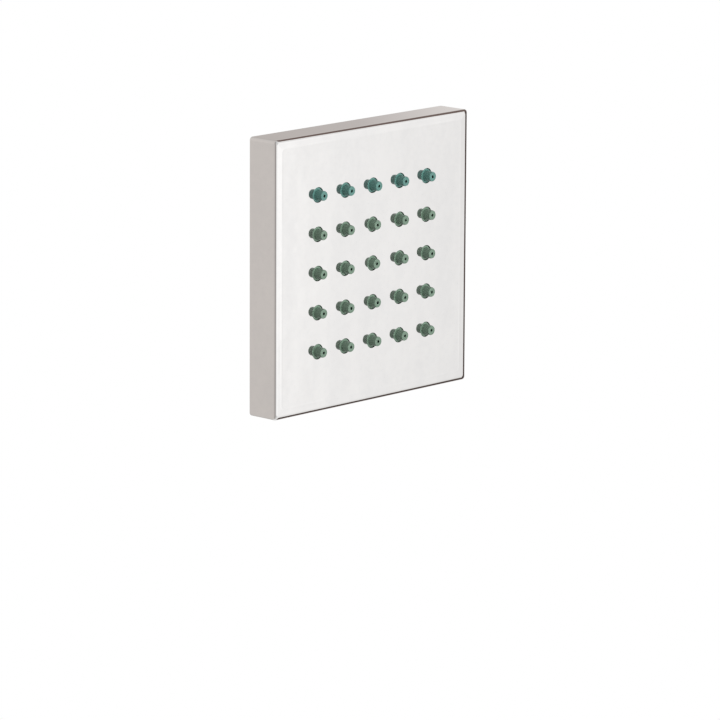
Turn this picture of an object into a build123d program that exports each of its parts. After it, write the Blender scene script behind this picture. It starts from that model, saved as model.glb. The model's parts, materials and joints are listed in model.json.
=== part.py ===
from build123d import *
import math
import os

# Square body jet for a shower wall, on a ball joint, in millimetres.
# The face looks along -Y, the wall is on +Y and +Z is up.
# The origin is the centre of the inlet's rim, where the jet screws on its pipe.

# Square box
plate_width = 100.0
plate_depth = 12.5
outline_radius = 1.2
front_edge_radius = 0.9
rear_edge_radius = 0.3
face_thickness = 2.0
side_wall = 1.8
ledge_width = 2.6
pocket_radius = 3.0

# Nozzles and the mat that carries them
grid_count = 5
nozzle_pitch = 14.1
collar_radius = 2.75
collar_recess = 0.3
collar_clearance = 0.05
tip_root_radius = 1.9
tip_end_radius = 1.75
tip_height = 3.1
jet_radius = 0.5
jet_length = 1.2
feed_radius = 1.1
mat_thickness = 1.5
mat_margin = 9.0
mat_corner_radius = 4.0
mat_clearance = 0.5
# Three nozzles of the middle column stand lower: row and column, and by how much
lower_tips = {(1, 2): 0.5, (2, 2): 0.8, (3, 2): 0.35}

# Slotted plate behind the mat, with ribs that the back plate presses on
retainer_thickness = 2.0
slot_width = 3.4
slot_overrun = 3.0
rib_width = 3.0
rib_length = 22.0
rib_inset = 2.0

# Back plate, its gasket and its screws
back_thickness = 2.5
back_recess = 0.5
back_clearance = 0.15
gasket_thickness = 1.0
screw_inset = 8.0
post_radius = 4.2
screw_radius = 1.5
screw_length = 7.0
screw_clearance = 0.1
screw_hole_spare = 1.0
head_overhang = 1.3
key_width = 2.0
key_depth = 1.1

# Inlet: half-inch pipe thread, washer, screen and flow disc
thread_radius = 10.5
thread_depth = 10.0
inlet_wall = 2.5
inlet_chamfer = 0.6
flat_wall = 1.5
flat_length = 7.0
washer_radius = 9.3
washer_hole_radius = 6.5
washer_thickness = 2.0
washer_clearance = 0.1
screen_thickness = 0.5
screen_rim = 0.8
screen_gap = 1.5
screen_wire = 0.7
flow_disc_thickness = 1.0
flow_hole_radius = 1.1
flow_hole_count = 3
flow_hole_circle = 2.0
inlet_web = 1.5

# Ball joint
ball_radius = 8.0
water_radius = 3.5
neck_wall = 1.2
neck_reach = 9.5
ball_setback = 6.5
seat_clearance = 0.1
seal_angle = 40.0
seal_wall = 1.6
seal_rear = 3.6
seal_front = 6.4
spring_ring_thickness = 1.2
spring_ring_hole_radius = 7.0
ring_angle = 30.0
ring_thickness = 1.1
ring_front = 2.6
ring_rear = 5.2
ring_swing = 0.3

# Socket through the back plate, and its two nuts
socket_wall = 1.6
socket_bore_radius = 5.5
socket_end = 0.3
flange_width = 2.7
flange_thickness = 1.5
socket_seal_thickness = 0.8
thread_clearance = 0.05
socket_nut_wall = 2.65
socket_nut_thickness = 2.0
swivel_nut_wall = 1.65
swivel_nut_gap = 0.3
swivel_nut_rear = 6.0
swivel_nut_relief = 1.0
swivel_nose_radius = 10.8
swivel_nose_length = 3.0
nut_chamfer = 0.8

# Places along Y, from the inlet's rim forwards
thread_end_y = -thread_depth
washer_front_y = thread_end_y - washer_thickness
flow_disc_front_y = washer_front_y - flow_disc_thickness
inlet_front_y = flow_disc_front_y - inlet_web
ball_y = inlet_front_y - neck_reach
plate_rear_y = ball_y - ball_setback
plate_front_y = plate_rear_y - plate_depth
face_inner_y = plate_front_y + face_thickness
back_rear_y = plate_rear_y - back_recess
back_front_y = back_rear_y - back_thickness
ledge_y = back_front_y - gasket_thickness
mat_rear_y = face_inner_y + mat_thickness
retainer_rear_y = mat_rear_y + retainer_thickness
flange_rear_y = back_front_y - socket_seal_thickness
flange_front_y = flange_rear_y - flange_thickness
socket_nut_rear_y = back_rear_y + socket_nut_thickness
spring_rear_y = ball_y - seal_front - seat_clearance
spring_front_y = spring_rear_y - spring_ring_thickness

# Widths that follow from those above
opening_width = plate_width - 2 * side_wall
chamber_width = opening_width - 2 * ledge_width
back_width = opening_width - 2 * back_clearance
mat_width = (grid_count - 1) * nozzle_pitch + 2 * mat_margin
screw_place = plate_width / 2 - screw_inset
head_radius = screw_radius + head_overhang
inlet_radius = thread_radius + inlet_wall
flat_width = 2 * (thread_radius + flat_wall)
neck_radius = water_radius + neck_wall
seal_radius = ball_radius + seal_wall
socket_radius = seal_radius + seat_clearance + socket_wall
flange_radius = socket_radius + flange_width
nut_bore_radius = socket_radius + thread_clearance
socket_nut_width = 2 * (nut_bore_radius + socket_nut_wall)
swivel_nut_width = 2 * (nut_bore_radius + swivel_nut_wall)


def slab(sketch, rear_y, front_y):
    return extrude(Plane.XZ.offset(-rear_y) * sketch, rear_y - front_y)


def turned(*profile):
    return revolve(make_face(Polyline(*profile, close=True)), Axis.Y)


def rounded_square(width, radius):
    return RectangleRounded(width, width, radius)


def hexagon(width):
    return RegularPolygon(width / 2, 6, major_radius=False)


def ring(outer_radius, inner_radius, rear_y, front_y):
    return slab(Circle(outer_radius) - Circle(inner_radius), rear_y, front_y)


def corner_places():
    return [(x, z) for x in (-screw_place, screw_place) for z in (-screw_place, screw_place)]


def corner_circles(radius):
    return [Pos(x, z) * Circle(radius) for x, z in corner_places()]


def mat_outline():
    # Square behind the face, scalloped where a corner post would meet it
    return rounded_square(mat_width, mat_corner_radius) - corner_circles(post_radius + mat_clearance)


def grid_places():
    middle = (grid_count - 1) / 2
    for row in range(grid_count):
        for column in range(grid_count):
            yield row, column, (column - middle) * nozzle_pitch, (middle - row) * nozzle_pitch


def face_holes():
    hole_radius = collar_radius + collar_clearance
    return [Pos(x, z) * Circle(hole_radius) for row, column, x, z in grid_places()]


def make_front_shell():
    shell = slab(rounded_square(plate_width, outline_radius), plate_rear_y, plate_front_y)
    faces = shell.faces().sort_by(Axis.Y)
    shell = fillet(faces[0].edges(), front_edge_radius)
    shell = fillet(shell.faces().sort_by(Axis.Y)[-1].edges(), rear_edge_radius)
    shell -= slab(rounded_square(opening_width, pocket_radius), plate_rear_y, ledge_y)
    shell -= slab(rounded_square(chamber_width, pocket_radius), ledge_y, face_inner_y)
    shell += slab(Sketch() + corner_circles(post_radius), ledge_y, face_inner_y)
    hole_depth = screw_length - back_thickness - gasket_thickness + screw_hole_spare
    shell -= slab(Sketch() + corner_circles(screw_radius + screw_clearance), ledge_y, ledge_y - hole_depth)
    return shell - slab(Sketch() + face_holes(), face_inner_y, plate_front_y)


def make_nozzle(lower):
    collar_y = plate_front_y + collar_recess
    tip_y = plate_front_y - tip_height + lower
    return turned(
        (0, mat_rear_y),
        (collar_radius, mat_rear_y),
        (collar_radius, collar_y),
        (tip_root_radius, collar_y),
        (tip_end_radius, tip_y),
        (0, tip_y),
    )


def make_nozzle_bore(lower):
    tip_y = plate_front_y - tip_height + lower
    jet_y = tip_y + jet_length
    return turned(
        (0, mat_rear_y),
        (feed_radius, mat_rear_y),
        (feed_radius, jet_y),
        (jet_radius, jet_y),
        (jet_radius, tip_y),
        (0, tip_y),
    )


def make_nozzle_mat():
    mat = slab(mat_outline(), mat_rear_y, face_inner_y)
    nozzles = []
    bores = []
    for row, column, x, z in grid_places():
        lower = lower_tips.get((row, column), 0.0)
        nozzles.append(Pos(x, 0, z) * make_nozzle(lower))
        bores.append(Pos(x, 0, z) * make_nozzle_bore(lower))
    return mat + nozzles - bores


def make_mat_retainer():
    plate = slab(mat_outline(), retainer_rear_y, mat_rear_y)
    slot_length = (grid_count - 1) * nozzle_pitch + 2 * slot_overrun
    rows = sorted({z for row, column, x, z in grid_places()})
    slots = [Pos(0, z) * SlotOverall(slot_length, slot_width) for z in rows]
    plate -= slab(Sketch() + slots, retainer_rear_y, mat_rear_y)
    rib_place = mat_width / 2 - rib_inset - rib_width / 2
    rib = Pos(0, rib_place) * Rectangle(rib_length, rib_width)
    ribs = [Rot(0, 0, 90 * side) * rib for side in range(4)]
    return plate + slab(Sketch() + ribs, back_front_y, retainer_rear_y)


def make_back_gasket():
    frame = rounded_square(back_width, pocket_radius - back_clearance)
    frame -= rounded_square(chamber_width, pocket_radius)
    frame += corner_circles(post_radius)
    frame -= corner_circles(screw_radius + screw_clearance)
    return slab(frame, back_front_y, ledge_y)


def make_screw_blank(clearance, length):
    return turned(
        (0, back_rear_y),
        (head_radius + clearance, back_rear_y),
        (screw_radius + clearance, back_rear_y - head_radius + screw_radius),
        (screw_radius + clearance, back_rear_y - length),
        (0, back_rear_y - length),
    )


def at_corners(shape):
    return [Pos(x, 0, z) * shape for x, z in corner_places()]


def make_back_plate():
    plate = slab(rounded_square(back_width, pocket_radius - back_clearance), back_rear_y, back_front_y)
    plate -= slab(Circle(nut_bore_radius), back_rear_y, back_front_y)
    return plate - at_corners(make_screw_blank(screw_clearance, back_thickness))


def make_back_plate_screws():
    screw = make_screw_blank(0, screw_length)
    screw -= slab(hexagon(key_width), back_rear_y, back_rear_y - key_depth)
    return Compound(children=at_corners(screw))


def make_ball_socket():
    end_y = ball_y - socket_end
    return turned(
        (socket_bore_radius, flange_front_y),
        (flange_radius, flange_front_y),
        (flange_radius, flange_rear_y),
        (socket_radius, flange_rear_y),
        (socket_radius, end_y),
        (seal_radius + seat_clearance, end_y),
        (seal_radius + seat_clearance, spring_front_y),
        (socket_bore_radius, spring_front_y),
    )


def make_spring_ring():
    return ring(seal_radius, spring_ring_hole_radius, spring_rear_y, spring_front_y)


def make_socket_seal():
    return ring(flange_radius, nut_bore_radius, back_front_y, flange_rear_y)


def make_socket_nut():
    corner = socket_nut_width / 2 / math.cos(math.radians(30))
    nut = slab(hexagon(socket_nut_width) - Circle(nut_bore_radius), socket_nut_rear_y, back_rear_y)
    outside = turned(
        (0, back_rear_y),
        (corner, back_rear_y),
        (corner, socket_nut_rear_y - nut_chamfer),
        (corner - 2 * nut_chamfer, socket_nut_rear_y),
        (0, socket_nut_rear_y),
    )
    return nut & outside


def cone_radius(sphere_radius, angle, offset):
    # Radius, at an offset from the ball's centre, of the cone that touches a sphere round that centre
    turn = math.radians(angle)
    return sphere_radius * math.cos(turn) + (sphere_radius * math.sin(turn) - offset) * math.tan(turn)


def make_swivel_nut():
    front_y = socket_nut_rear_y + swivel_nut_gap
    rear_y = ball_y + swivel_nut_rear
    relief_y = ball_y + swivel_nut_relief
    corner = swivel_nut_width / 2 / math.cos(math.radians(30))
    seat_sphere = ball_radius + 2 * seat_clearance + ring_thickness + ring_swing
    blank = slab(hexagon(swivel_nut_width), rear_y, front_y)
    outside = turned(
        (0, front_y),
        (corner - nut_chamfer, front_y),
        (corner, front_y + nut_chamfer),
        (corner, rear_y - swivel_nose_length),
        (swivel_nose_radius, rear_y),
        (0, rear_y),
    )
    bore = turned(
        (0, front_y),
        (nut_bore_radius, front_y),
        (nut_bore_radius, relief_y),
        (cone_radius(seat_sphere, ring_angle, swivel_nut_relief), relief_y),
        (cone_radius(seat_sphere, ring_angle, swivel_nut_rear), rear_y),
        (0, rear_y),
    )
    return (blank & outside) - bore


def make_ball_seal():
    touch = ball_radius + seat_clearance
    return turned(
        (cone_radius(touch, seal_angle, seal_rear), ball_y - seal_rear),
        (seal_radius, ball_y - seal_rear),
        (seal_radius, ball_y - seal_front),
        (cone_radius(touch, seal_angle, seal_front), ball_y - seal_front),
    )


def make_friction_ring():
    touch = ball_radius + seat_clearance
    back = touch + ring_thickness
    return turned(
        (cone_radius(touch, ring_angle, ring_front), ball_y + ring_front),
        (cone_radius(back, ring_angle, ring_front), ball_y + ring_front),
        (cone_radius(back, ring_angle, ring_rear), ball_y + ring_rear),
        (cone_radius(touch, ring_angle, ring_rear), ball_y + ring_rear),
    )


def make_ball_inlet():
    washer_seat_radius = washer_radius + washer_clearance
    body = turned(
        (0, 0),
        (inlet_radius - inlet_chamfer, 0),
        (inlet_radius, -inlet_chamfer),
        (inlet_radius, inlet_front_y + inlet_chamfer),
        (inlet_radius - inlet_chamfer, inlet_front_y),
        (neck_radius, inlet_front_y),
        (neck_radius, ball_y),
        (0, ball_y),
    )
    body += Pos(0, ball_y, 0) * Sphere(ball_radius)
    flats = Rectangle(2 * inlet_radius, 2 * inlet_radius) - Rectangle(flat_width, 2 * inlet_radius)
    body -= slab(flats, inlet_front_y + flat_length, inlet_front_y)
    body -= slab(Circle(thread_radius), 0, thread_end_y)
    body -= slab(Circle(washer_seat_radius), thread_end_y, flow_disc_front_y)
    return body - slab(Circle(water_radius), flow_disc_front_y, ball_y - ball_radius)


def make_inlet_washer():
    return ring(washer_radius, washer_hole_radius, thread_end_y, washer_front_y)


def make_filter_screen():
    radius = washer_hole_radius - washer_clearance
    step = screen_gap + screen_wire
    reach = radius - screen_rim
    count = int(reach / step)
    gaps = []
    for i in range(-count, count + 1):
        for j in range(-count, count + 1):
            corner = math.hypot(abs(i) * step + screen_gap / 2, abs(j) * step + screen_gap / 2)
            if corner <= reach:
                gaps.append(Pos(i * step, j * step) * Rectangle(screen_gap, screen_gap))
    return slab(Circle(radius) - gaps, washer_front_y + screen_thickness, washer_front_y)


def make_flow_disc():
    holes = PolarLocations(flow_hole_circle, flow_hole_count) * Circle(flow_hole_radius)
    return slab(Circle(washer_radius) - holes, washer_front_y, flow_disc_front_y)


nodes = {
    "front_shell": make_front_shell,
    "nozzle_mat": make_nozzle_mat,
    "mat_retainer": make_mat_retainer,
    "back_gasket": make_back_gasket,
    "back_plate": make_back_plate,
    "back_plate_screws": make_back_plate_screws,
    "ball_socket": make_ball_socket,
    "spring_ring": make_spring_ring,
    "socket_seal": make_socket_seal,
    "socket_nut": make_socket_nut,
    "swivel_nut": make_swivel_nut,
    "ball_seal": make_ball_seal,
    "friction_ring": make_friction_ring,
    "ball_inlet": make_ball_inlet,
    "inlet_washer": make_inlet_washer,
    "filter_screen": make_filter_screen,
    "flow_disc": make_flow_disc,
}

os.makedirs("parts", exist_ok=True)
for name, make in nodes.items():
    export_step(make(), f"parts/{name}.step")
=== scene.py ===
import bpy
import json
import math
from mathutils import Matrix, Vector


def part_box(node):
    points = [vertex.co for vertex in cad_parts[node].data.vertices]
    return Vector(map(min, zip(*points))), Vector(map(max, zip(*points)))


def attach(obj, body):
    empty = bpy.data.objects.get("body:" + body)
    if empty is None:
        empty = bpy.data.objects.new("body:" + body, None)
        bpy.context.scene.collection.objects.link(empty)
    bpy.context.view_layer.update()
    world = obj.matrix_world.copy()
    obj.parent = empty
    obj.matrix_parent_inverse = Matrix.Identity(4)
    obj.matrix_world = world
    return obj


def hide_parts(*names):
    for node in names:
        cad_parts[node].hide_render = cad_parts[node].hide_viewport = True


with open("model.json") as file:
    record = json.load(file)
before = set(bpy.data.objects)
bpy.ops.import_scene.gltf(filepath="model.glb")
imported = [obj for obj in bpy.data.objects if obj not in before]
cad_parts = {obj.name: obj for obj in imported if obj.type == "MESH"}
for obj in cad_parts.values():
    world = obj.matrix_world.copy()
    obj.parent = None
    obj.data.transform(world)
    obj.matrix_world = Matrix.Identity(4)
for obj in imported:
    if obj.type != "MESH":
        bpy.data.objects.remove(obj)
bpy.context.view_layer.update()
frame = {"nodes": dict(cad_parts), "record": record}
cadNodes = frame["nodes"]
mm = 0.001

shellLow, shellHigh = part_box("front_shell")
matLow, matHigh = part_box("nozzle_mat")
screenLow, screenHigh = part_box("filter_screen")
inletLow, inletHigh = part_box("ball_inlet")
faceY = shellLow.y                      # the chrome face, looking along -Y
faceCentre = Vector((0, faceY, 0))
nozzleGrid = {"count": 5, "pitch": 14.1 * mm}
print("frame loaded:", len(cadNodes), "nodes, face at y =", round(faceY, 5))


def deselectAll():
    if bpy.context.object and bpy.context.object.mode != "OBJECT":
        bpy.ops.object.mode_set(mode="OBJECT")
    bpy.ops.object.select_all(action="DESELECT")


def pickOnly(piece):
    deselectAll()
    piece.select_set(True)
    bpy.context.view_layer.objects.active = piece


def applyModifiers(piece):
    pickOnly(piece)
    for modifier in list(piece.modifiers):
        bpy.ops.object.modifier_apply(modifier=modifier.name)


def settle(piece):                      # place goes into the mesh, object to the origin
    pickOnly(piece)
    bpy.ops.object.transform_apply(location=True, rotation=True, scale=True)


def pickVertices(piece, test):          # edit mode with only the vertices that pass the test
    pickOnly(piece)
    bpy.ops.object.mode_set(mode="EDIT")
    bpy.ops.mesh.select_mode(type="VERT")
    bpy.ops.mesh.select_all(action="DESELECT")
    bpy.ops.object.mode_set(mode="OBJECT")
    for vertex in piece.data.vertices:
        vertex.select = test(vertex.co)
    bpy.ops.object.mode_set(mode="EDIT")


def pickEdges(piece, test):             # edit mode with only the edges that pass the test
    pickOnly(piece)
    bpy.ops.object.mode_set(mode="EDIT")
    bpy.ops.mesh.select_mode(type="EDGE")
    bpy.ops.mesh.select_all(action="DESELECT")
    bpy.ops.object.mode_set(mode="OBJECT")
    spots = [vertex.co for vertex in piece.data.vertices]
    for edge in piece.data.edges:
        edge.select = test(spots[edge.vertices[0]], spots[edge.vertices[1]])
    bpy.ops.object.mode_set(mode="EDIT")


def turnRings(name, rings, sides, centre):      # closed turned shape from rings of radius and y
    deselectAll()
    radius, y = rings[0]
    bpy.ops.mesh.primitive_circle_add(
        vertices=sides, radius=radius, rotation=(math.pi / 2, 0, 0), location=(centre[0], y, centre[1]))
    piece = bpy.context.object
    piece.name = name
    settle(piece)
    bpy.ops.object.mode_set(mode="EDIT")
    bpy.ops.mesh.select_all(action="SELECT")
    for nextRadius, nextY in rings[1:]:
        bpy.ops.mesh.extrude_edges_move(TRANSFORM_OT_translate={"value": (0, nextY - y, 0)})
        grow = nextRadius / radius
        bpy.ops.transform.resize(value=(grow, 1, grow), center_override=(centre[0], 0, centre[1]))
        radius, y = nextRadius, nextY
    bpy.ops.mesh.select_all(action="DESELECT")
    bpy.ops.mesh.select_non_manifold()
    bpy.ops.mesh.bridge_edge_loops()            # from the last ring back to the first
    bpy.ops.mesh.select_all(action="SELECT")
    bpy.ops.mesh.normals_make_consistent(inside=False)
    bpy.ops.object.mode_set(mode="OBJECT")
    return piece


def repeatPiece(piece, count, step):
    pickOnly(piece)
    bpy.ops.object.modifier_add(type="ARRAY")
    array = piece.modifiers[-1]
    array.count = count
    array.use_relative_offset = False
    array.use_constant_offset = True
    array.constant_offset_displace = step
    applyModifiers(piece)


def copyPiece(piece):
    pickOnly(piece)
    bpy.ops.object.duplicate(linked=False)
    return bpy.context.object


def joinPieces(piece, others):
    pickOnly(piece)
    for other in others:
        other.select_set(True)
    bpy.ops.object.join()


def cutOrJoin(piece, other, operation):
    pickOnly(piece)
    bpy.ops.object.modifier_add(type="BOOLEAN")
    combine = piece.modifiers[-1]
    combine.operation = operation
    combine.object = other
    combine.solver = "EXACT"
    applyModifiers(piece)
    bpy.data.objects.remove(other)


def dress(piece, finish, smoothAngle):
    pickOnly(piece)
    bpy.ops.object.shade_smooth_by_angle(angle=math.radians(smoothAngle))
    piece.data.materials.clear()
    piece.data.materials.append(finish)


def newFinish(name):
    finish = bpy.data.materials.new(name)
    finish.use_nodes = True
    tree = finish.node_tree
    shader = tree.nodes["Principled BSDF"]
    coords = tree.nodes.new("ShaderNodeTexCoord")
    return finish, tree, shader, coords.outputs["Object"]


def addNode(tree, kind, inputs=None, **settings):
    node = tree.nodes.new(kind)
    for key, value in settings.items():
        setattr(node, key, value)
    for key, value in (inputs or {}).items():
        if isinstance(value, bpy.types.NodeSocket):
            tree.links.new(value, node.inputs[key])
        else:
            node.inputs[key].default_value = value
    return node


def noise(tree, coords, scale, detail):
    inputs = {"Vector": coords, "Scale": scale, "Detail": detail}
    return addNode(tree, "ShaderNodeTexNoise", inputs).outputs["Fac"]


def stretched(tree, coords, scale):     # scaled by axis, for streaks and brushing
    inputs = {0: coords, 1: scale}
    return addNode(tree, "ShaderNodeVectorMath", inputs, operation="MULTIPLY").outputs["Vector"]


def splitAxes(tree, coords):
    axes = addNode(tree, "ShaderNodeSeparateXYZ", {"Vector": coords})
    return axes.outputs["X"], axes.outputs["Y"], axes.outputs["Z"]


def spread(tree, value, low, high, toLow, toHigh, shape="LINEAR"):
    inputs = {"Value": value, "From Min": low, "From Max": high, "To Min": toLow, "To Max": toHigh}
    return addNode(tree, "ShaderNodeMapRange", inputs, interpolation_type=shape).outputs["Result"]


def maths(tree, operation, first, second=0.0):
    return addNode(tree, "ShaderNodeMath", {0: first, 1: second}, operation=operation).outputs["Value"]


def reach(tree, across, up):            # length of a pair of distances
    pair = addNode(tree, "ShaderNodeCombineXYZ", {"X": across, "Y": up}).outputs["Vector"]
    return addNode(tree, "ShaderNodeVectorMath", {0: pair}, operation="LENGTH").outputs["Value"]


def addUp(tree, heights):
    total = heights[0]
    for height in heights[1:]:
        total = maths(tree, "ADD", total, height)
    return total


grainRange = (0.3, 0.7)                 # where most of a noise texture's values lie


def roughen(tree, shader, grain, rough, swing):  # roughness swings between two shares of its mean
    ends = [rough * share for share in swing]
    tree.links.new(spread(tree, grain, *grainRange, *ends), shader.inputs["Roughness"])


def shades(colour, swing):              # a darker and a lighter shade of one colour
    return [[channel * share for channel in colour] for share in swing]


def bump(tree, shader, height):         # height in metres
    node = addNode(tree, "ShaderNodeBump", {"Height": height, "Distance": 1.0})
    tree.links.new(node.outputs["Normal"], shader.inputs["Normal"])


def blend(tree, factor, first, second): # mixes two colours, each a socket or a set of four values
    return addNode(tree, "ShaderNodeMix", {0: factor, 6: first, 7: second}, data_type="RGBA").outputs[2]


def tint(tree, shader, factor, dark, light):
    tree.links.new(blend(tree, factor, (*dark, 1), (*light, 1)), shader.inputs["Base Color"])


boxChromeSettings = {
    "dark": (0.649, 0.641, 0.636),
    "light": (0.674, 0.664, 0.656),
    "rough": (0.025, 0.06),
    "smearScale": 260.0,
    "smearRange": (0.35, 0.7),
    "streakScale": (110.0, 60.0, 13.0), # polishing streaks about 9 mm wide, long in Z
    "patchScale": 45.0,                 # cloudy patches about 20 mm wide
    "mottleScale": 450.0,               # finer ones of about 2 mm between them
    "cloudRange": (0.42, 0.58),
    "rippleScale": 110.0,               # buffing leaves ripples about 9 mm wide
    "rippleHeight": 0.06 * mm,
    "rippleDepth": 1.0 * mm,            # they stop this far behind the face, so the sides stay flat
    "rollCorner": 2.0 * mm,             # the buffed rim falls away towards the outline
    "rollFrom": 1.6 * mm,
    "rollTo": -0.1 * mm,
    "rollHeight": 0.33 * mm,
    "leanFrom": 4.4 * mm,               # and leans back a degree or two before that, most at the top
    "leanTo": 0.4 * mm,
    "leanHeight": (0.01 * mm, 0.075 * mm),
    "ridgeCorner": 5.0 * mm,            # fine line where the buffing wheel turned over the rim
    "ridgeInset": 3.5 * mm,
    "ridgeWidth": 0.7 * mm,
    "ridgeHeight": (0.0, 0.02 * mm),    # it comes and goes with the patches
    "ridgeRange": (0.35, 0.65),
    "dishRadius": 6.0 * mm,             # the face dips a little round each hole
    "dishDepth": 0.035 * mm,
}


def rimDistance(tree, x, z, corner):    # distance in from the box's outline
    straight = shellHigh.x - corner
    past = [maths(tree, "SUBTRACT", maths(tree, "ABSOLUTE", side), straight) for side in (x, z)]
    outer = reach(tree, *[maths(tree, "MAXIMUM", side, 0.0) for side in past])
    inner = maths(tree, "MINIMUM", maths(tree, "MAXIMUM", *past), 0.0)
    return maths(tree, "SUBTRACT", corner, maths(tree, "ADD", outer, inner))


def holeDistance(tree, x, z):           # distance from the nearest nozzle's axis
    most = (nozzleGrid["count"] - 1) / 2
    offsets = []
    for side in (x, z):
        nearest = maths(tree, "ROUND", maths(tree, "DIVIDE", side, nozzleGrid["pitch"]))
        nearest = maths(tree, "MAXIMUM", maths(tree, "MINIMUM", nearest, most), -most)
        axis = maths(tree, "MULTIPLY", nearest, nozzleGrid["pitch"])
        offsets.append(maths(tree, "SUBTRACT", side, axis))
    return reach(tree, *offsets)


def rimFall(tree, s, inset, z):         # the buffed rim leans back, then rolls off
    roll = spread(tree, inset, s["rollFrom"], s["rollTo"], 0.0, -s["rollHeight"], "SMOOTHERSTEP")
    lean = spread(tree, inset, s["leanFrom"], s["leanTo"], 0.0, -1.0, "SMOOTHERSTEP")
    lean = maths(tree, "MULTIPLY", lean, spread(tree, z, shellLow.z, shellHigh.z, *s["leanHeight"]))
    return maths(tree, "ADD", roll, lean)


def rimRidge(tree, s, inset, strength):
    offRidge = maths(tree, "ABSOLUTE", maths(tree, "SUBTRACT", inset, s["ridgeInset"]))
    ridge = spread(tree, offRidge, s["ridgeWidth"], 0.0, 0.0, 1.0)
    return maths(tree, "MULTIPLY", ridge, spread(tree, strength, *s["ridgeRange"], *s["ridgeHeight"]))


def holeDish(tree, s, x, z):
    near = spread(tree, holeDistance(tree, x, z), s["dishRadius"], 0.0, 0.0, 1.0)
    return maths(tree, "MULTIPLY", maths(tree, "POWER", near, 2.0), -s["dishDepth"])


def boxChrome():
    s = boxChromeSettings
    finish, tree, shader, coords = newFinish("boxChrome")
    shader.inputs["Metallic"].default_value = 1.0
    x, y, z = splitAxes(tree, coords)
    smear = noise(tree, coords, s["smearScale"], 4.0)
    tree.links.new(spread(tree, smear, *s["smearRange"], *s["rough"]), shader.inputs["Roughness"])
    streak = noise(tree, stretched(tree, coords, s["streakScale"]), 1.0, 2.0)
    patch = noise(tree, coords, s["patchScale"], 6.0)
    mottle = noise(tree, coords, s["mottleScale"], 3.0)
    cloud = maths(tree, "DIVIDE", addUp(tree, [streak, patch, mottle]), 3.0)
    tint(tree, shader, spread(tree, cloud, *s["cloudRange"], 0.0, 1.0), s["dark"], s["light"])
    onFace = spread(tree, y, faceY, faceY + s["rippleDepth"], s["rippleHeight"], 0.0)
    ripple = maths(tree, "MULTIPLY", noise(tree, coords, s["rippleScale"], 1.0), onFace)
    rim = rimFall(tree, s, rimDistance(tree, x, z, s["rollCorner"]), z)
    ridge = rimRidge(tree, s, rimDistance(tree, x, z, s["ridgeCorner"]), patch)
    bump(tree, shader, addUp(tree, [ripple, rim, ridge, holeDish(tree, s, x, z)]))
    return finish


turnedSettings = {
    "pitch": 0.3 * mm,                  # one mark of the lathe tool to the next
    "cloudScale": 160.0,
    "tones": (0.9, 1.08),
    "grainScale": 1500.0,
    "roughSwing": (0.8, 1.2),
}


def turnedMetal(name, colour, rough, markHeight):
    s = turnedSettings
    finish, tree, shader, coords = newFinish(name)
    shader.inputs["Metallic"].default_value = 1.0
    x, y, z = splitAxes(tree, coords)
    along = maths(tree, "ADD", reach(tree, x, z), y)     # the tool moves out along faces, along Y on rounds
    mark = maths(tree, "SINE", maths(tree, "MULTIPLY", along, 2 * math.pi / s["pitch"]))
    tint(tree, shader, noise(tree, coords, s["cloudScale"], 3.0), *shades(colour, s["tones"]))
    roughen(tree, shader, noise(tree, coords, s["grainScale"], 3.0), rough, s["roughSwing"])
    bump(tree, shader, maths(tree, "MULTIPLY", mark, markHeight))
    return finish


brushSettings = {
    "scale": (14.0, 1400.0, 1400.0),    # scratches run along X
    "height": 0.004 * mm,
    "cloudScale": 60.0,
    "tones": (0.88, 1.1),
    "roughSwing": (0.8, 1.25),
}


def brushedMetal(name, colour, rough):
    s = brushSettings
    finish, tree, shader, coords = newFinish(name)
    shader.inputs["Metallic"].default_value = 1.0
    brush = noise(tree, stretched(tree, coords, s["scale"]), 1.0, 3.0)
    cloud = noise(tree, coords, s["cloudScale"], 3.0)
    tone = maths(tree, "MULTIPLY", maths(tree, "ADD", brush, cloud), 0.5)
    tint(tree, shader, tone, *shades(colour, s["tones"]))
    roughen(tree, shader, brush, rough, s["roughSwing"])
    bump(tree, shader, maths(tree, "MULTIPLY", brush, s["height"]))
    return finish


mouldedSettings = {
    "cloudScale": 300.0,
    "tones": (0.9, 1.08),
    "grainScale": 1500.0,
    "roughSwing": (0.85, 1.15),
}


def mouldedFinish(name, colour, rough, grainHeight):
    s = mouldedSettings
    finish, tree, shader, coords = newFinish(name)
    tint(tree, shader, noise(tree, coords, s["cloudScale"], 3.0), *shades(colour, s["tones"]))
    grain = noise(tree, coords, s["grainScale"], 4.0)
    roughen(tree, shader, grain, rough, s["roughSwing"])
    bump(tree, shader, maths(tree, "MULTIPLY", grain, grainHeight))
    return finish


siliconeSettings = {
    "topRow": (0.150, 0.345, 0.302),    # the top row is bluer than the rows below it
    "otherRows": (0.232, 0.348, 0.258),
    "paintedJetShade": (0.035, 0.075, 0.050),     # painted shade down the jets, where the bore is in shadow
    "paintedShadeReach": 0.51 * mm,
    "rough": 0.36,
    "roughSwing": (0.85, 1.15),
    "grainScale": 1800.0,
    "grainHeight": 0.006 * mm,
}


def nozzleSilicone():
    s = siliconeSettings
    finish, tree, shader, coords = newFinish("nozzleSilicone")
    x, _, z = splitAxes(tree, coords)
    rowZ = (nozzleGrid["count"] - 1) / 2 * nozzleGrid["pitch"]
    top = maths(tree, "GREATER_THAN", z, rowZ - nozzleGrid["pitch"] / 2)
    outside = blend(tree, top, (*s["otherRows"], 1), (*s["topRow"], 1))
    # painted shade: the silicone is darkened inside each jet's bore, where shadow falls
    paintedJetShade = maths(tree, "LESS_THAN", holeDistance(tree, x, z), s["paintedShadeReach"])
    tree.links.new(blend(tree, paintedJetShade, outside, (*s["paintedJetShade"], 1)), shader.inputs["Base Color"])
    grain = noise(tree, coords, s["grainScale"], 3.0)
    roughen(tree, shader, grain, s["rough"], s["roughSwing"])
    bump(tree, shader, maths(tree, "MULTIPLY", grain, s["grainHeight"]))
    return finish


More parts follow.
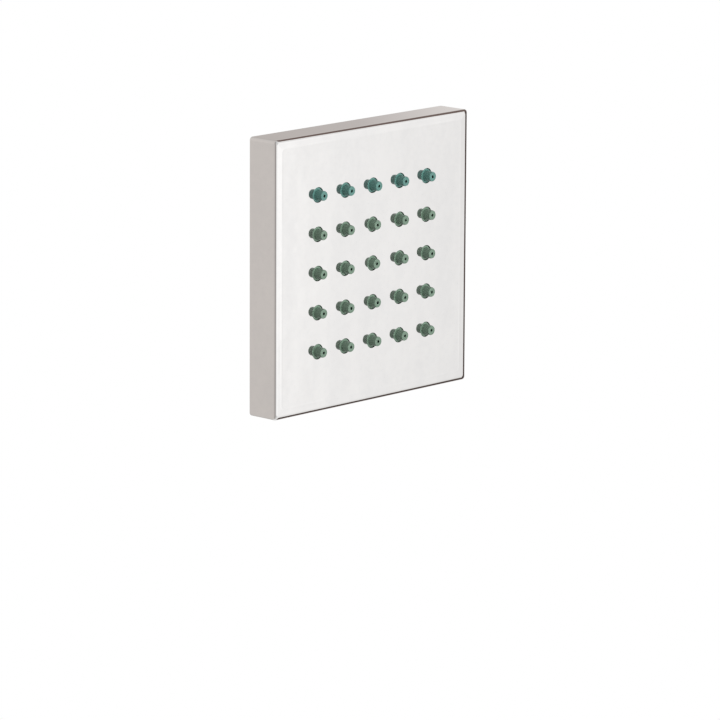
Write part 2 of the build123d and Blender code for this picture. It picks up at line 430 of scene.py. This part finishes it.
finishes = {
    "chrome": turnedMetal("turnedChrome", (0.66, 0.654, 0.644), 0.06, 0.00006 * mm),
    "back_metal": brushedMetal("satinChrome", (0.60, 0.595, 0.585), 0.28),
    "brass": turnedMetal("turnedBrass", (0.72, 0.50, 0.22), 0.24, 0.0012 * mm),
    "steel": turnedMetal("plainSteel", (0.58, 0.575, 0.57), 0.26, 0.0008 * mm),
    "nozzle_rubber": nozzleSilicone(),
    "seal_rubber": mouldedFinish("blackRubber", (0.022, 0.022, 0.024), 0.6, 0.012 * mm),
    "grey_plastic": mouldedFinish("greyPlastic", (0.26, 0.27, 0.28), 0.5, 0.006 * mm),
    "white_plastic": mouldedFinish("whiteAcetal", (0.78, 0.78, 0.75), 0.4, 0.004 * mm),
}
ownFinishes = {"front_shell": boxChrome()}
for row in frame["record"]["subparts"]:
    finish = ownFinishes.get(row["node"], finishes[row["material_slot"]])
    for place in cadNodes[row["node"]].material_slots:
        place.material = finish
print("finishes:", len(finishes) + len(ownFinishes))


matSettings = {
    "sides": 40,
    "sheet": 1.5 * mm,
    "rearSink": 0.15 * mm,              # the nozzles end this far inside the sheet's rear
    "corner": 4.0 * mm,
    "cornerSteps": 8,
    "collar": 2.75 * mm,
    "recess": 0.3 * mm,                 # collars sit this far under the chrome face
    "tipRoot": 1.9 * mm,
    "tipEnd": 1.75 * mm,
    "jet": 0.5 * mm,
    "jetLength": 1.2 * mm,
    "feed": 1.1 * mm,
    "ease": 0.1 * mm,                   # step by which the moulded edges are softened
    "lowTips": {(1, 2): 0.5 * mm, (2, 2): 0.8 * mm, (3, 2): 0.35 * mm},    # row, column and drop
}


def nozzleRings(s, rearY):              # from the feed hole over the tip to the collar
    ease = s["ease"]
    tipY = matLow.y
    jetY = tipY + s["jetLength"]
    baseY = faceY + s["recess"]
    return (
        (s["feed"], rearY),
        (s["feed"], jetY + 3 * ease),
        (s["jet"], jetY),
        (s["jet"], tipY + ease),
        (s["jet"] + ease, tipY),
        (s["tipEnd"] - 3 * ease, tipY),
        (s["tipEnd"] - ease, tipY + 0.7 * ease),
        (s["tipEnd"], tipY + 3 * ease),
        (s["tipRoot"] - 0.2 * ease, baseY - 3 * ease),
        (s["tipRoot"] + 0.4 * ease, baseY - 0.7 * ease),
        (s["tipRoot"] + 1.2 * ease, baseY),
        (s["collar"] - 4 * ease, baseY),
        (s["collar"] - 2 * ease, baseY + 0.5 * ease),
        (s["collar"] - 0.5 * ease, baseY + 2 * ease),
        (s["collar"], baseY + 4 * ease),
        (s["collar"], rearY),
    )


def spreadGrid(piece):                  # copies the piece over the nozzle grid, right and down
    pitch = nozzleGrid["pitch"]
    for step in ((pitch, 0, 0), (0, 0, -pitch)):
        repeatPiece(piece, nozzleGrid["count"], step)


def lowerTip(nozzles, s, x, z, drop):
    baseY = faceY + s["recess"]
    full = baseY - matLow.y
    near = nozzleGrid["pitch"] / 2
    pickVertices(nozzles, lambda co: math.hypot(co.x - x, co.z - z) < near and co.y < baseY)
    bpy.ops.transform.resize(value=(1, (full - drop) / full, 1), center_override=(x, baseY, z))
    bpy.ops.object.mode_set(mode="OBJECT")


def makeNozzles(s, first):
    nozzles = turnRings("nozzles", nozzleRings(s, matHigh.y - s["rearSink"]), s["sides"], first)
    spreadGrid(nozzles)
    pitch = nozzleGrid["pitch"]
    for (row, column), drop in s["lowTips"].items():
        lowerTip(nozzles, s, first[0] + column * pitch, first[1] - row * pitch, drop)
    return nozzles


def makeSheet(s, middleY):
    width = matHigh.x - matLow.x
    deselectAll()
    bpy.ops.mesh.primitive_cube_add(size=1, location=(0, middleY, 0))
    sheet = bpy.context.object
    sheet.name = "nozzleMat"
    sheet.scale = (width, s["sheet"], width)
    settle(sheet)
    pickEdges(sheet, lambda a, b: abs(a.y - b.y) > s["sheet"] / 2)
    bpy.ops.mesh.bevel(offset=s["corner"], segments=s["cornerSteps"], affect="EDGES")
    return sheet


def makeSheetHoles(s, first, middleY):  # cutters that open the sheet inside each collar
    deselectAll()
    bpy.ops.mesh.primitive_cylinder_add(
        vertices=s["sides"], radius=(s["feed"] + s["collar"]) / 2, depth=3 * s["sheet"],
        rotation=(math.pi / 2, 0, 0), location=(first[0], middleY, first[1]))
    holes = bpy.context.object
    settle(holes)
    spreadGrid(holes)
    return holes


def makeNozzleMat():
    s = matSettings
    edge = (nozzleGrid["count"] - 1) / 2 * nozzleGrid["pitch"]
    first = (-edge, edge)
    middleY = matHigh.y - s["sheet"] / 2
    mat = makeSheet(s, middleY)
    cutOrJoin(mat, makeSheetHoles(s, first, middleY), "DIFFERENCE")
    cutOrJoin(mat, makeNozzles(s, first), "UNION")
    dress(mat, finishes["nozzle_rubber"], 40)
    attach(mat, "head")
    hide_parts("nozzle_mat")
    return mat


nozzleMat = makeNozzleMat()
print("nozzle mat:", len(nozzleMat.data.polygons), "faces")


threadSettings = {
    "major": 10.48 * mm,
    "minor": 9.32 * mm,                 # half-inch pipe thread, 14 turns to the inch
    "pitch": 25.4 / 14 * mm,
    "fill": 0.86,                       # share of the pitch that a ridge takes
    "turns": 5,
    "steps": 72,
    "start": 0.7 * mm,
    "fade": 0.5,                        # share of a turn over which each end runs out into the bore
}


def threadStart(s):                     # place along Y of the innermost end
    return inletHigh.y - s["start"] - s["pitch"] * (s["turns"] + 0.5)


def threadSection(s):                   # triangle with its tip towards the axis
    deselectAll()
    bpy.ops.mesh.primitive_circle_add(vertices=3, radius=1, rotation=(0, 0, math.pi / 2))
    section = bpy.context.object
    settle(section)
    corners = [vertex.co for vertex in section.data.vertices]
    tall = max(co.x for co in corners) - min(co.x for co in corners)
    wide = max(co.y for co in corners) - min(co.y for co in corners)
    section.scale = ((s["major"] - s["minor"]) / tall, s["fill"] * s["pitch"] / wide, 1)
    settle(section)
    outermost = max(vertex.co.x for vertex in section.data.vertices)
    section.location.x = s["major"] - outermost
    section.location.y = threadStart(s)
    settle(section)
    return section


def fadeEnds(thread, s):                # the ridge's tip comes up to its full depth step by step
    depth = s["major"] - s["minor"]
    tipLimit = s["major"] - depth / 2
    rise = s["pitch"] / s["steps"]
    fadeSteps = int(s["fade"] * s["steps"])
    for step in range(fadeSteps):
        grow = (s["major"] - depth * (step + 1) / (fadeSteps + 1)) / s["minor"]
        innerY = threadStart(s) + step * rise
        outerY = threadStart(s) + s["turns"] * s["pitch"] - step * rise
        for y in (innerY, outerY):
            pickVertices(thread, lambda co: math.hypot(co.x, co.z) < tipLimit and abs(co.y - y) < rise / 2)
            bpy.ops.transform.resize(value=(grow, 1, grow), center_override=(0, 0, 0))
    bpy.ops.object.mode_set(mode="OBJECT")


def makeInletThread():
    s = threadSettings
    thread = threadSection(s)
    thread.name = "inletThread"
    bpy.ops.object.modifier_add(type="SCREW")
    turn = thread.modifiers[-1]
    turn.axis = "Y"
    turn.screw_offset = s["pitch"]
    turn.iterations = s["turns"]
    turn.steps = s["steps"]
    turn.render_steps = s["steps"]
    applyModifiers(thread)
    fadeEnds(thread, s)
    bpy.ops.object.mode_set(mode="EDIT")
    bpy.ops.mesh.select_all(action="DESELECT")
    bpy.ops.mesh.select_non_manifold()
    bpy.ops.mesh.edge_face_add()        # closes the two ends
    bpy.ops.mesh.select_all(action="SELECT")
    bpy.ops.mesh.normals_make_consistent(inside=False)
    dress(thread, finishes["chrome"], 30)
    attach(thread, "inlet")
    return thread


inletThread = makeInletThread()
print("inlet thread:", len(inletThread.data.polygons), "faces")


screenSettings = {
    "pitch": 0.9 * mm,
    "wire": 0.1 * mm,                   # radius of one wire
    "wave": 0.11 * mm,                  # how far a wire dips at each crossing
    "sides": 6,
    "stepsPerCrossing": 4,
    "rim": 0.6 * mm,
    "rimEase": 0.1 * mm,
    "rimSides": 64,
}


def makeWire(s, crossings):             # one wavy wire along X through the origin
    length = (crossings + 1) * s["pitch"]
    steps = (crossings + 1) * s["stepsPerCrossing"]
    deselectAll()
    bpy.ops.mesh.primitive_cylinder_add(
        vertices=s["sides"], radius=s["wire"], depth=length, rotation=(0, math.pi / 2, 0))
    wire = bpy.context.object
    settle(wire)
    pickEdges(wire, lambda a, b: abs(a.x - b.x) > length / 2)
    bpy.ops.mesh.subdivide(number_cuts=steps - 1)
    for step in range(steps + 1):
        x = (step / steps - 0.5) * length
        pickVertices(wire, lambda co: abs(co.x - x) < length / steps / 2)
        bpy.ops.transform.translate(value=(0, s["wave"] * math.cos(math.pi * x / s["pitch"]), 0))
    bpy.ops.object.mode_set(mode="OBJECT")
    return wire


def makeScreenRim(s, radius):
    ease = s["rimEase"]
    inner = radius - s["rim"]
    rings = (
        (inner, screenLow.y + ease),
        (inner + ease, screenLow.y),
        (radius - ease, screenLow.y),
        (radius, screenLow.y + ease),
        (radius, screenHigh.y - ease),
        (radius - ease, screenHigh.y),
        (inner + ease, screenHigh.y),
        (inner, screenHigh.y - ease),
    )
    return turnRings("screenRim", rings, s["rimSides"], (0, 0))


def weaveWires(s, half):                # wires both ways, each over and under the next
    evenWires = makeWire(s, 2 * half + 1)
    oddWires = copyPiece(evenWires)
    oddWires.rotation_euler.x = math.pi
    firstEven = -half + half % 2
    firstOdd = -half + 1 - half % 2
    for wires, first in ((evenWires, firstEven), (oddWires, firstOdd)):
        wires.location.z = first * s["pitch"]
        settle(wires)
        repeatPiece(wires, (half - first) // 2 + 1, (0, 0, 2 * s["pitch"]))
    joinPieces(evenWires, [oddWires])
    crossWires = copyPiece(evenWires)
    crossWires.rotation_euler.x = math.pi
    settle(crossWires)
    crossWires.rotation_euler.y = math.pi / 2
    settle(crossWires)
    joinPieces(evenWires, [crossWires])
    return evenWires


def makeFilterScreen():                 # woven wires in a pressed rim
    s = screenSettings
    radius = screenHigh.x
    middleY = (screenLow.y + screenHigh.y) / 2
    screen = weaveWires(s, int((radius - s["rim"]) / s["pitch"]))
    screen.name = "filterWeave"
    screen.location.y = middleY
    settle(screen)
    deselectAll()
    bpy.ops.mesh.primitive_cylinder_add(
        vertices=s["rimSides"], radius=radius - s["rim"] / 2, depth=4 * (screenHigh.y - screenLow.y),
        rotation=(math.pi / 2, 0, 0), location=(0, middleY, 0))
    disc = bpy.context.object
    settle(disc)
    cutOrJoin(screen, disc, "INTERSECT")
    joinPieces(screen, [makeScreenRim(s, radius)])
    dress(screen, finishes["steel"], 40)
    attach(screen, "inlet")
    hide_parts("filter_screen")
    return screen


filterWeave = makeFilterScreen()
print("filter screen:", len(filterWeave.data.polygons), "faces")


studio = {
    "wallRadius": 1.0,
    "wallHeight": 5.0,
    "wallSides": 180,
    "wallLight": 1.48,                  # makes up for what the chrome swallows
    "ceilingTone": (0.50, 0.48, 0.465),
    "lowBand": (-0.25, -0.20),          # heights in metres between which it leaves its lower tone
    "lowTone": 0.985,
    "highBand": (-0.12, 0.0),           # heights between which it reaches its upper tone
    "highTone": 1.07,
    "dimAngle": (34, 41),               # straight ahead it dims above and below one height
    "dimHeight": -0.17,
    "dimBand": (0.12, 0.30),
    "dimTone": -0.28,
    "topAngle": (56, 62),               # and high up it dims over a wider stretch
    "topBand": (0.28, 0.45),
    "topTone": -0.2,
    "flagSide": (0.80, 0.88),           # the dark flag on the right pales higher up
    "flagBand": (0.35, 0.6),
    "flagTone": 0.8,
    "floorDrop": 1.4,                   # the jet sits this far above the floor
    "floorSize": 60.0,
    "floorColour": (0.85, 0.85, 0.85),
    "floorRough": 0.9,
    "diffuseLight": 0.20,
    "lampPower": 15.5,
    "lampSize": 1.1,
    "lampPlace": (-0.2, -1.48, 0.35),
    # Tone of the wall by the angle from straight ahead of the face, towards +X
    "wallTones": (
        (-180, (0.50, 0.48, 0.465)),
        (-133, (0.55, 0.52, 0.50)),
        (-95, (0.53, 0.50, 0.48)),
        (-70, (0.50, 0.47, 0.455)),
        (-53, (0.28, 0.26, 0.25)),
        (-44, (0.28, 0.26, 0.25)),
        (-12, (0.86, 0.86, 0.86)),
        (12, (0.86, 0.86, 0.86)),
        (24, (1.0, 1.0, 1.0)),
        (41, (1.0, 1.0, 1.0)),
        (44.5, (0.88, 0.88, 0.88)),
        (51, (0.79, 0.79, 0.79)),
        (60, (0.74, 0.74, 0.73)),
        (64, (0.080, 0.060, 0.055)),
        (120, (0.080, 0.060, 0.055)),
        (125, (0.55, 0.53, 0.51)),
        (130.2, (0.545, 0.522, 0.507)),
        (133.3, (0.394, 0.367, 0.356)),
        (136.4, (0.378, 0.352, 0.337)),
        (180, (0.50, 0.48, 0.465)),
    ),
}


def shownRays(tree):                    # 1 for camera, glossy and transmission rays that met nothing matt
    rays = addNode(tree, "ShaderNodeLightPath").outputs
    seen = maths(tree, "MAXIMUM", rays["Is Camera Ray"], rays["Is Glossy Ray"])
    seen = maths(tree, "MAXIMUM", seen, rays["Is Transmission Ray"])
    return maths(tree, "MULTIPLY", seen, maths(tree, "LESS_THAN", rays["Diffuse Depth"], 0.5))


def glowOnly(tree, colour, strength):
    glow = addNode(tree, "ShaderNodeEmission", {"Color": colour, "Strength": strength})
    tree.links.new(glow.outputs["Emission"], tree.nodes["Material Output"].inputs["Surface"])


def makeWorld():
    world = bpy.data.worlds.new("studioWorld")
    world.use_nodes = True
    tree = world.node_tree
    light = tree.nodes["Background"]
    light.inputs["Color"].default_value = (1, 1, 1, 1)
    strength = spread(tree, shownRays(tree), 0.0, 1.0, studio["diffuseLight"], 1.0)
    tree.links.new(strength, light.inputs["Strength"])
    bpy.context.scene.world = world


def makeFloor():                        # white to the camera and to chrome, matt and pale to the light
    deselectAll()
    bpy.ops.mesh.primitive_plane_add(size=studio["floorSize"], location=(0, 0, -studio["floorDrop"]))
    floor = bpy.context.object
    floor.name = "studioFloor"
    finish, tree, shader, _ = newFinish("paleFloor")
    shader.inputs["Base Color"].default_value = (*studio["floorColour"], 1)
    shader.inputs["Roughness"].default_value = studio["floorRough"]
    glow = addNode(tree, "ShaderNodeEmission", {"Strength": 1.0}).outputs["Emission"]
    mix = addNode(tree, "ShaderNodeMixShader", {0: shownRays(tree), 1: shader.outputs["BSDF"], 2: glow})
    tree.links.new(mix.outputs["Shader"], tree.nodes["Material Output"].inputs["Surface"])
    floor.data.materials.append(finish)


def onlyReflected(card):
    card.visible_camera = False
    card.visible_diffuse = False
    card.visible_transmission = False
    card.visible_shadow = False


def wallRamp(tree, angle):
    ramp = addNode(tree, "ShaderNodeValToRGB", {"Fac": spread(tree, angle, -math.pi, math.pi, 0.0, 1.0)})
    stops = ramp.color_ramp.elements
    for degrees, tone in studio["wallTones"][1:-1]:
        stops.new((degrees + 180) / 360).color = (*tone, 1)
    stops[0].color = (*studio["wallTones"][0][1], 1)
    stops[-1].color = (*studio["wallTones"][-1][1], 1)
    return ramp.outputs["Color"]


def patchTone(tree, place, height, name):       # 1 off the patch, lighter or darker on it
    change = spread(tree, height, *studio[name + "Band"], 0.0, studio[name + "Tone"])
    return maths(tree, "ADD", maths(tree, "MULTIPLY", place, change), 1.0)


def wallLevel(tree, x, z, angle):       # how bright the wall is at a spot, before its colour
    ahead = maths(tree, "DEGREES", maths(tree, "ABSOLUTE", angle))
    offHeight = maths(tree, "ABSOLUTE", maths(tree, "SUBTRACT", z, studio["dimHeight"]))
    tones = (
        spread(tree, z, *studio["lowBand"], studio["lowTone"], 1.0),
        spread(tree, z, *studio["highBand"], 1.0, studio["highTone"]),
        patchTone(tree, spread(tree, ahead, *studio["dimAngle"], 1.0, 0.0), offHeight, "dim"),
        patchTone(tree, spread(tree, ahead, *studio["topAngle"], 1.0, 0.0), z, "top"),
        patchTone(tree, spread(tree, x, *studio["flagSide"], 0.0, 1.0), z, "flag"),
    )
    level = studio["wallLight"]
    for tone in tones:
        level = maths(tree, "MULTIPLY", tone, level)
    return level


def makeWall():                         # round studio wall, seen only in reflections
    deselectAll()
    bpy.ops.mesh.primitive_cylinder_add(
        vertices=studio["wallSides"], radius=studio["wallRadius"], depth=studio["wallHeight"],
        end_fill_type="NOTHING", location=faceCentre)
    wall = bpy.context.object
    wall.name = "studioWall"
    settle(wall)
    finish, tree, _, coords = newFinish("wallTones")
    x, y, z = splitAxes(tree, coords)
    angle = maths(tree, "ARCTAN2", x, maths(tree, "SUBTRACT", faceCentre.y, y))
    strength = maths(tree, "MULTIPLY", wallLevel(tree, x, z, angle), shownRays(tree))
    glowOnly(tree, wallRamp(tree, angle), strength)
    wall.data.materials.append(finish)
    onlyReflected(wall)


def makeCeiling():
    deselectAll()
    bpy.ops.mesh.primitive_circle_add(
        vertices=studio["wallSides"], radius=studio["wallRadius"], fill_type="NGON",
        location=faceCentre + Vector((0, 0, studio["wallHeight"] / 2)))
    ceiling = bpy.context.object
    ceiling.name = "studioCeiling"
    finish, tree, _, _ = newFinish("ceilingTone")
    glowOnly(tree, (*studio["ceilingTone"], 1), studio["wallLight"])
    ceiling.data.materials.append(finish)
    onlyReflected(ceiling)


def makeLamp():                         # soft key light from the front
    light = bpy.data.lights.new("keyLamp", "AREA")
    light.energy = studio["lampPower"]
    light.size = studio["lampSize"]
    lamp = bpy.data.objects.new("keyLamp", light)
    bpy.context.scene.collection.objects.link(lamp)
    place = Vector(studio["lampPlace"])
    facing = (faceCentre - place).to_track_quat("-Z", "Y").to_matrix().to_4x4()
    lamp.matrix_world = Matrix.Translation(place) @ facing
    lamp.visible_glossy = False


makeWorld()
makeFloor()
makeWall()
makeCeiling()
makeLamp()
print("studio: floor", studio["floorDrop"], "m below the jet")


cameraSettings = {
    "azimuth": -46.86,                  # from straight ahead of the face, towards +X
    "elevation": 10.75,
    "distance": 1.8476,
    "focalPixels": 5171.0,
    "framePixels": 720.0,
    "facePixel": (371.99, 262.94),      # where the face's centre shows in the frame
    "roll": 0.327,
    "sensor": 36.0,
    "farthest": 200.0,
}


def makeCamera():
    s = cameraSettings
    turn = math.radians(s["azimuth"])
    rise = math.radians(s["elevation"])
    outward = Vector((math.sin(turn) * math.cos(rise), -math.cos(turn) * math.cos(rise), math.sin(rise)))
    lens = bpy.data.cameras.new("photoCamera")
    lens.sensor_width = s["sensor"]
    lens.lens = s["sensor"] * s["focalPixels"] / s["framePixels"]
    lens.clip_end = s["farthest"]
    camera = bpy.data.objects.new("photoCamera", lens)
    bpy.context.scene.collection.objects.link(camera)
    middle = s["framePixels"] / 2
    aside = math.atan2(s["facePixel"][0] - middle, s["focalPixels"])
    above = math.atan2(middle - s["facePixel"][1], s["focalPixels"])
    facing = (-outward).to_track_quat("-Z", "Y").to_matrix()
    facing = facing @ Matrix.Rotation(aside, 3, "Y") @ Matrix.Rotation(-above, 3, "X")
    facing = facing @ Matrix.Rotation(math.radians(s["roll"]), 3, "Z")
    camera.matrix_world = Matrix.Translation(faceCentre + outward * s["distance"]) @ facing.to_4x4()
    bpy.context.scene.camera = camera


makeCamera()
print("camera:", cameraSettings["distance"], "m from the face")
bpy.context.scene.view_settings.view_transform = "Standard"

deselectAll()
